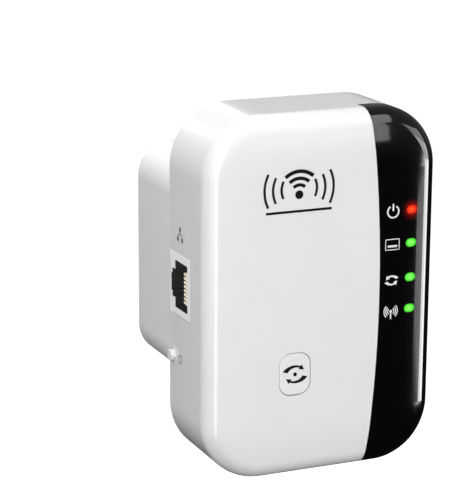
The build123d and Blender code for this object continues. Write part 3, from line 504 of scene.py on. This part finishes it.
def finish_strokes(tree, group_in, group_out, curves):
    """Sweeps a flat rectangle along curves, makes the result real and inks it."""
    link = tree.links.new
    flat = add_node(tree, "GeometryNodeSetCurveNormal", mode="Z_UP")
    link(curves, flat.inputs["Curve"])
    profile = add_node(tree, "GeometryNodeCurvePrimitiveQuadrilateral", mode="RECTANGLE")
    link(group_in.outputs["Stroke"], profile.inputs["Width"])
    link(group_in.outputs["Thickness"], profile.inputs["Height"])
    sweep = add_node(tree, "GeometryNodeCurveToMesh")
    sweep.inputs["Fill Caps"].default_value = True
    link(flat.outputs["Curve"], sweep.inputs["Curve"])
    link(profile.outputs["Curve"], sweep.inputs["Profile Curve"])
    real = add_node(tree, "GeometryNodeRealizeInstances")
    link(sweep.outputs["Mesh"], real.inputs["Geometry"])
    inked = add_node(tree, "GeometryNodeSetMaterial")
    link(real.outputs["Geometry"], inked.inputs["Geometry"])
    link(group_in.outputs["Ink"], inked.inputs["Material"])
    link(inked.outputs["Geometry"], group_out.inputs["Geometry"])


def grow(tree_and_names, mesh, **values):
    """Runs a Geometry Nodes tree on a mesh and returns the plain mesh that it makes."""
    tree, names = tree_and_names
    holder = bpy.data.objects.new("holder", mesh)
    bpy.context.scene.collection.objects.link(holder)
    modifier = holder.modifiers.new("shape", "NODES")
    modifier.node_group = tree
    for name, value in values.items():
        modifier[names[name]] = value
    bpy.context.view_layer.update()
    evaluated = holder.evaluated_get(bpy.context.evaluated_depsgraph_get())
    result = bpy.data.meshes.new_from_object(evaluated)
    bpy.data.objects.remove(holder)
    return result


class Mark:
    """A printed mark, drawn flat in metres about its own middle and then laid on a surface."""

    def __init__(self, name, material, stroke):
        self.name, self.material, self.stroke = name, material, stroke
        self.form = bmesh.new()

    def arcs(self, centre, first, step, count, start, sweep, stroke=None):
        """Concentric arcs about centre. Angles are in degrees, anticlockwise from the right."""
        mesh = grow(
            ARC_SET, bpy.data.meshes.new("seed"),
            **{
                "Count": count, "First Radius": first, "Step": step, "Start": radians(start),
                "Sweep": radians(sweep), "Stroke": stroke or self.stroke, "Thickness": INK_THICKNESS,
                "Ink": self.material,
            },
        )
        mesh.transform(Matrix.Translation((*centre, 0.0)))
        self.form.from_mesh(mesh)

    def line(self, points, closed=False, stroke=None):
        """A stroke through the points, divided so that it can follow a curved surface."""
        mesh = bpy.data.meshes.new("path")
        path = []
        ends = points[1:] + points[:1] if closed else points[1:]
        for a, b in zip(points, ends):
            a, b = Vector(a), Vector(b)
            parts = max(1, round((b - a).length / LONGEST_STROKE_PART))
            path += [a.lerp(b, i / parts) for i in range(parts)]
        if not closed:
            path.append(Vector(points[-1]))
        edges = [(i, i + 1) for i in range(len(path) - 1)]
        if closed:
            edges.append((len(path) - 1, 0))
        mesh.from_pydata([(*p, 0.0) for p in path], edges, [])
        drawn = grow(
            STROKE, mesh,
            **{"Stroke": stroke or self.stroke, "Thickness": INK_THICKNESS, "Ink": self.material},
        )
        self.form.from_mesh(drawn)

    def patch(self, outline):
        """A filled shape with this outline, anticlockwise."""
        half = INK_THICKNESS / 2
        top = [self.form.verts.new((x, y, half)) for x, y in outline]
        low = [self.form.verts.new((x, y, -half)) for x, y in outline]
        self.form.faces.new(top)
        self.form.faces.new(low[::-1])
        for i in range(len(outline)):
            j = (i + 1) % len(outline)
            self.form.faces.new((low[i], low[j], top[j], top[i]))

    def disc(self, centre, radius):
        """A filled disc."""
        angles = [2 * pi * i / DISC_CORNERS for i in range(DISC_CORNERS)]
        self.patch([(centre[0] + radius * cos(a), centre[1] + radius * sin(a)) for a in angles])

    def lay(self, spot, body):
        """Lays the mark on a surface and rides it on a body."""
        bmesh.ops.remove_doubles(self.form, verts=self.form.verts, dist=WELD)
        lift = (INK_PROUD - INK_SUNK) / 2
        for vertex in self.form.verts:
            u, v, w = vertex.co
            vertex.co = spot(u, v, w + lift)
        bmesh.ops.recalc_face_normals(self.form, faces=self.form.faces)
        mesh = bpy.data.meshes.new(self.name)
        self.form.to_mesh(mesh)
        self.form.free()
        mesh.materials.clear()
        mesh.materials.append(self.material)
        for polygon in mesh.polygons:
            polygon.material_index = 0
        piece = bpy.data.objects.new(self.name, mesh)
        bpy.context.scene.collection.objects.link(piece)
        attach(piece, body)


def surface_finder(*names):
    """A ray tester over the CAD nodes named."""
    verts, faces = [], []
    for name in names:
        mesh = nodes[name].data
        start = len(verts)
        verts += [v.co.copy() for v in mesh.vertices]
        faces += [[start + i for i in p.vertices] for p in mesh.polygons]
    return BVHTree.FromPolygons(verts, faces)


def on_front(finder, x, z):
    """Lays a mark's flat drawing on the front, centred over the point x, z."""
    def spot(u, v, w):
        hit = finder.ray_cast(Vector((x + u, OUTSIDE, z + v)), Vector((0, 1, 0)))[0]
        return Vector((x + u, hit.y - w, z + v))
    return spot


def on_left_side(finder, y, z):
    """Lays a mark's flat drawing on the left side, centred over the point y, z. Its right is the front."""
    def spot(u, v, w):
        hit = finder.ray_cast(Vector((OUTSIDE, y - u, z + v)), Vector((1, 0, 0)))[0]
        return Vector((hit.x - w, y - u, z + v))
    return spot


def arrowhead(mark, tip, angle, length, width):
    """A filled triangle whose tip points along angle, in degrees."""
    along = Vector((cos(radians(angle)), sin(radians(angle))))
    across = Vector((-along.y, along.x))
    base = Vector(tip) - along * length
    mark.patch([tuple(tip), tuple(base + across * width / 2), tuple(base - across * width / 2)])


def swept_arrow(mark, radius, start, sweep, tail, neck, head, stretch):
    """A bold arrow bent round an oval: its tail narrows from tail to neck and ends in a head."""
    steps = 18
    outer, inner = [], []
    for i in range(steps + 1):
        t = i / steps
        angle = radians(start + sweep * t)
        half = (tail + (neck - tail) * t) / 2
        outer.append(((radius + half) * cos(angle), (radius + half) * sin(angle)))
        inner.append(((radius - half) * cos(angle), (radius - half) * sin(angle)))
    way = 1.0 if sweep > 0 else -1.0
    end = radians(start + sweep)
    head_length = head * 0.9
    tip_angle = end + way * head_length / radius
    wide = [((radius + k * head / 2) * cos(end), (radius + k * head / 2) * sin(end)) for k in (1, -1)]
    tip = (radius * cos(tip_angle), radius * sin(tip_angle))
    outline = [(x * stretch[0], y * stretch[1]) for x, y in outer + [wide[0], tip, wide[1]] + inner[::-1]]
    mark.patch(outline if way > 0 else outline[::-1])


def turning_arrows(mark, radius, tail, neck, head, start, sweep, stretch):
    """Two bold arrows that chase each other round an oval."""
    for turn in (0.0, 180.0):
        swept_arrow(mark, radius, start + turn, sweep, tail, neck, head, stretch)


def print_front_mark(black):
    """A point that radiates upwards and to both sides, over a thin rule, on the upper front."""
    finder = surface_finder("front_cover")
    low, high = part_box("front_cover")
    mark = Mark("front_mark", black, 0.82 * MM)
    point = (0.0, -2.6 * MM)
    side_point = (0.0, -1.2 * MM)
    rule_end, rule_height = 8.6 * MM, -6.6 * MM
    mark.disc(point, 1.05 * MM)
    for radius, stroke in ((2.35, 0.8), (3.95, 0.85), (5.65, 0.9)):
        mark.arcs(point, radius * MM, 0.0, 1, 50.0, 80.0, stroke * MM)
    for start in (-27.0, 153.0):
        mark.arcs(side_point, 4.6 * MM, 2.2 * MM, 3, start, 54.0, 0.62 * MM)
    mark.line([(-rule_end, rule_height), (rule_end, rule_height)], stroke=0.6 * MM)
    middle = (low.z + high.z) / 2
    aside, above = -7.4 * MM, 28.6 * MM
    mark.lay(on_front(finder, aside, middle + above), "case")


def print_button_mark(black):
    """Two bold turning arrows round a dot on the pairing button."""
    low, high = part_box("pairing_button")
    finder = surface_finder("pairing_button")
    mark = Mark("pairing_mark", black, 0.5 * MM)
    turning_arrows(mark, 2.35 * MM, 1.2 * MM, 0.5 * MM, 1.5 * MM, 160.0, -98.0, (1.18, 0.84))
    mark.disc((0.0, 0.0), 0.5 * MM)
    mark.lay(on_front(finder, (low.x + high.x) / 2, (low.z + high.z) / 2), "pairing_key")


def print_panel_marks(white):
    """Symbols beside the four lights: power, network port, link and radio."""
    finder = surface_finder("lens_panel")
    lamps = lamp_centres()
    left_of_lamps = 5.2 * MM
    x = lamps[0].x - left_of_lamps

    power = Mark("power_symbol", white, 0.42 * MM)
    power.arcs((0.0, 0.0), 1.5 * MM, 0.0, 1, 122.0, 296.0)
    power.line([(0.0, 0.2 * MM), (0.0, 1.95 * MM)])
    power.lay(on_front(finder, x, lamps[0].z - 0.1 * MM), "case")

    port = Mark("network_symbol", white, 0.22 * MM)
    w, h = 1.85 * MM, 1.3 * MM
    port.line([(-w, -h), (w, -h), (w, h), (-w, h)], closed=True)
    port.line([(-1.3 * MM, -0.45 * MM), (1.3 * MM, -0.45 * MM)], stroke=0.55 * MM)
    port.lay(on_front(finder, x, lamps[1].z), "case")

    link = Mark("link_symbol", white, 0.4 * MM)
    turning_arrows(link, 1.3 * MM, 0.75 * MM, 0.4 * MM, 1.2 * MM, 20.0, 104.0, (1.2, 0.8))
    link.lay(on_front(finder, x, lamps[2].z - 0.3 * MM), "case")

    radio = Mark("radio_symbol", white, 0.26 * MM)
    mast_top = (0.0, 0.35 * MM)
    radio.disc(mast_top, 0.36 * MM)
    radio.line([(0.0, 0.3 * MM), (0.0, -1.6 * MM)], stroke=0.36 * MM)
    for start in (-48.0, 132.0):
        radio.arcs(mast_top, 0.85 * MM, 0.5 * MM, 3, start, 96.0)
    radio.lay(on_front(finder, x, lamps[3].z - 0.6 * MM), "case")


def print_side_marks(grey):
    """A small network tree over the jack, and a ring beside the reset button."""
    finder = surface_finder("front_cover")
    jack_low, jack_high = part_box("jack_housing")
    middle = (jack_low.y + jack_high.y) / 2
    tree = Mark("port_symbol", grey, 0.24 * MM)
    side = 0.55 * MM
    branch, rise, joint = 1.3 * MM, 1.25 * MM, 0.8 * MM
    for x, z in ((0.0, rise), (-branch, -rise), (branch, -rise)):
        tree.patch([(x - side, z - side), (x + side, z - side), (x + side, z + side), (x - side, z + side)])
    tree.line([(0.0, joint), (0.0, 0.0)])
    tree.line([(-branch, -joint), (-branch, 0.0), (branch, 0.0), (branch, -joint)])
    over_jack = 5.0 * MM
    tree.lay(on_left_side(finder, middle, jack_high.z + over_jack), "case")

    key_low, key_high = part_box("reset_button")
    ring = Mark("reset_symbol", grey, 0.26 * MM)
    ring.arcs((0.0, 0.0), 0.95 * MM, 0.0, 1, 120.0, 290.0)
    arrowhead(ring, (-0.05 * MM, 1.28 * MM), 150.0, 0.9 * MM, 0.9 * MM)
    ahead_of_key = 4.3 * MM
    spot = on_left_side(finder, (key_low.y + key_high.y) / 2 - ahead_of_key, (key_low.z + key_high.z) / 2)
    ring.lay(spot, "case")


# ================================================================ studio
def area_light(name, place, aim, width, height, power, edge=(0.0, 0.0, 1.0)):
    """A soft box at a place, turned to an aim point, with its height along the given edge direction.

    The camera doesn't see it, only its light and its reflections."""
    data = bpy.data.lights.new(name, "AREA")
    data.shape = "RECTANGLE"
    data.size, data.size_y = width, height
    data.energy = power
    light = bpy.data.objects.new(name, data)
    light.visible_camera = False
    back = (Vector(place) - Vector(aim)).normalized()
    across = Vector(edge).cross(back).normalized()
    turn = Matrix((across, back.cross(across), back)).transposed()
    light.matrix_world = Matrix.Translation(place) @ turn.to_4x4()
    bpy.context.scene.collection.objects.link(light)


def unseen_in_gloss(stage_piece):
    """Keeps a stage piece out of the object's light and reflections: it is only a ground to look at."""
    stage_piece.visible_diffuse = False
    stage_piece.visible_glossy = False
    stage_piece.visible_transmission = False
    stage_piece.visible_shadow = False


def pale_ground():
    """Pale matt finish that carries its own even light."""
    material, shader = start_finish("pale_ground", (0.93, 0.93, 0.93), 0.9)
    tree = material.node_tree
    shade = tint(tree, speckle(tree, 0.3, 2.0), (0.92, 0.92, 0.92), (0.95, 0.95, 0.95))
    tree.links.new(shade, shader.inputs["Base Color"])
    shader.inputs["Emission Color"].default_value = (1.0, 1.0, 1.0, 1.0)
    shader.inputs["Emission Strength"].default_value = 0.98
    return material


def stage_ground(low):
    """A floor below the object, closed by a dome round both."""
    ground = pale_ground()
    reach = 2.5
    drop = 0.30
    height = low.z - drop
    floor_mesh = bpy.data.meshes.new("floor")
    corners = [(-reach, -reach), (reach, -reach), (reach, reach), (-reach, reach)]
    floor_mesh.from_pydata([(x, y, height) for x, y in corners], [], [(0, 1, 2, 3)])
    floor_mesh.materials.append(ground)
    floor = bpy.data.objects.new("floor", floor_mesh)
    shell = bmesh.new()
    bmesh.ops.create_uvsphere(shell, u_segments=48, v_segments=24, radius=reach)
    bmesh.ops.reverse_faces(shell, faces=shell.faces)
    dome_mesh = bpy.data.meshes.new("dome")
    shell.to_mesh(dome_mesh)
    shell.free()
    dome_mesh.materials.append(ground)
    dome = bpy.data.objects.new("dome", dome_mesh)
    for stage_piece in (floor, dome):
        bpy.context.scene.collection.objects.link(stage_piece)
        unseen_in_gloss(stage_piece)


def room_light():
    """A dim room: light above, dark below."""
    world = bpy.data.worlds.new("room")
    world.use_nodes = True
    tree = world.node_tree
    background = tree.nodes["Background"]
    place = add_node(tree, "ShaderNodeTexCoord")
    split = add_node(tree, "ShaderNodeSeparateXYZ")
    tree.links.new(place.outputs["Generated"], split.inputs["Vector"])
    ramp = add_node(tree, "ShaderNodeValToRGB")
    tree.links.new(spread(tree, split.outputs["Z"], 0.0, 1.0, -1.0, 1.0), ramp.inputs["Fac"])
    ramp.color_ramp.elements[0].position = 0.40
    ramp.color_ramp.elements[0].color = (0.05, 0.05, 0.05, 1.0)
    ramp.color_ramp.elements[1].position = 0.55
    ramp.color_ramp.elements[1].color = (0.62, 0.62, 0.63, 1.0)
    tree.links.new(ramp.outputs["Color"], background.inputs["Color"])
    background.inputs["Strength"].default_value = 0.2
    bpy.context.scene.world = world


def heading(azimuth, elevation):
    """Unit direction. The azimuth runs in degrees from the front to the right, the elevation upward."""
    turn, rise = radians(azimuth), radians(elevation)
    return Vector((sin(turn) * cos(rise), -cos(turn) * cos(rise), sin(rise)))


def tall_boxes(centre):
    """A leaning box high in front and an upright one under it: the bright quarter at the top of the panel."""
    reach = 0.7
    lean = Vector((0.108, 0.595, 0.797))
    place = centre + reach * heading(26.4, 31.3)
    right = lean.cross(place - centre).normalized()
    shift = 0.0075 * right + 0.15 * lean
    area_light("tall_box", place + shift, centre + shift, 0.215, 0.54, 0.57, lean)
    area_light("tall_box_foot", centre + reach * heading(23, 10.5), centre, 0.127, 0.28, 0.175)


def right_boxes(centre):
    """Boxes at the right, fainter upward, that are dimmest inward: the soft band along the panel's edge."""
    reach = 0.6
    columns = (
        (41.3, 42.6, 1.2), (42.6, 45.0, 14.0), (45.0, 50.0, 24.0), (50.0, 60.0, 21.0), (60.0, 71.0, 25.0),
    )
    rows = ((-21, -5, 1.0), (-5, 6, 0.45), (6, 20, 0.2))
    for column, (start, end, glow) in enumerate(columns):
        for row, (low, top, share) in enumerate(rows):
            width = reach * radians(end - start)
            height = reach * radians(top - low)
            place = centre + reach * heading((start + end) / 2, (low + top) / 2)
            power = glow * share * width * height
            area_light(f"right_box_{column}_{row}", place, centre, width, height, power)


def studio():
    """Soft boxes round the object over a pale ground."""
    low, high = cad_box_of_nodes()
    centre = (low + high) / 2
    stage_ground(low)
    room_light()
    area_light("overhead", centre + Vector((0.0, -0.08, 0.60)), centre, 0.5, 0.5, 1.7, (0.0, 1.0, 0.0))
    area_light("upper_left", centre + Vector((-0.35, -0.23, 0.45)), centre, 0.3, 0.3, 1.15)
    area_light("left_strip", centre + 0.5 * heading(-38, 2), centre, 0.14, 0.6, 1.25)
    area_light("far_left", centre + 0.7 * heading(-60, 5), centre, 0.3, 0.5, 1.1)
    area_light("behind_above", centre + Vector((0.0, 0.32, 0.50)), centre, 0.5, 0.3, 1.1, (0.0, 1.0, 0.0))
    area_light("behind", centre + 0.8 * heading(180, 8), centre, 0.5, 0.5, 1.8)
    tall_boxes(centre)
    right_boxes(centre)
    bpy.context.scene.view_settings.view_transform = "Standard"


def cad_box_of_nodes():
    """Lowest and highest corner of all the CAD nodes."""
    boxes = [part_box(name) for name in nodes]
    low = Vector([min(b[0][i] for b in boxes) for i in range(3)])
    high = Vector([max(b[1][i] for b in boxes) for i in range(3)])
    return low, high


def camera():
    """Stands to the left of the front and a little above, with a long lens."""
    azimuth, elevation, roll = radians(23.26), radians(14.51), 0.0048
    distance, aside, above = 0.50255, -0.014125, 0.005538
    focal = 143.64
    cover_low, cover_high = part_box("front_cover")
    rear_cover_rim = 1.0 * MM
    rear_plane = cover_high.y + rear_cover_rim
    aim = Vector((0.0, rear_plane, (cover_low.z + cover_high.z) / 2))
    back = Vector((-sin(azimuth) * cos(elevation), -cos(azimuth) * cos(elevation), sin(elevation)))
    right = Vector((cos(azimuth), -sin(azimuth), 0.0))
    up = back.cross(right)
    turned_right = cos(roll) * right + sin(roll) * up
    turned_up = -sin(roll) * right + cos(roll) * up
    data = bpy.data.cameras.new("camera")
    data.lens = focal
    data.sensor_width = 36.0
    data.dof.use_dof = False
    view = bpy.data.objects.new("camera", data)
    turn = Matrix((turned_right, turned_up, back)).transposed()
    stand = aim + distance * back + aside * turned_right + above * turned_up
    view.matrix_world = Matrix.Translation(stand) @ turn.to_4x4()
    bpy.context.scene.collection.objects.link(view)
    bpy.context.scene.camera = view


# ================================================================ build
ARC_SET = arc_set_tree()
STROKE = stroke_tree()

paint_case()
paint_metal()
paint_inside()
black_ink = ink("black_ink", (0.004, 0.004, 0.0045), 0.45)
white_ink = ink("white_ink", (0.80, 0.80, 0.80), 0.4)
grey_ink = ink("grey_ink", (0.16, 0.16, 0.165), 0.4)
print_front_mark(black_ink)
print_button_mark(black_ink)
print_panel_marks(white_ink)
print_side_marks(grey_ink)
studio()
camera()
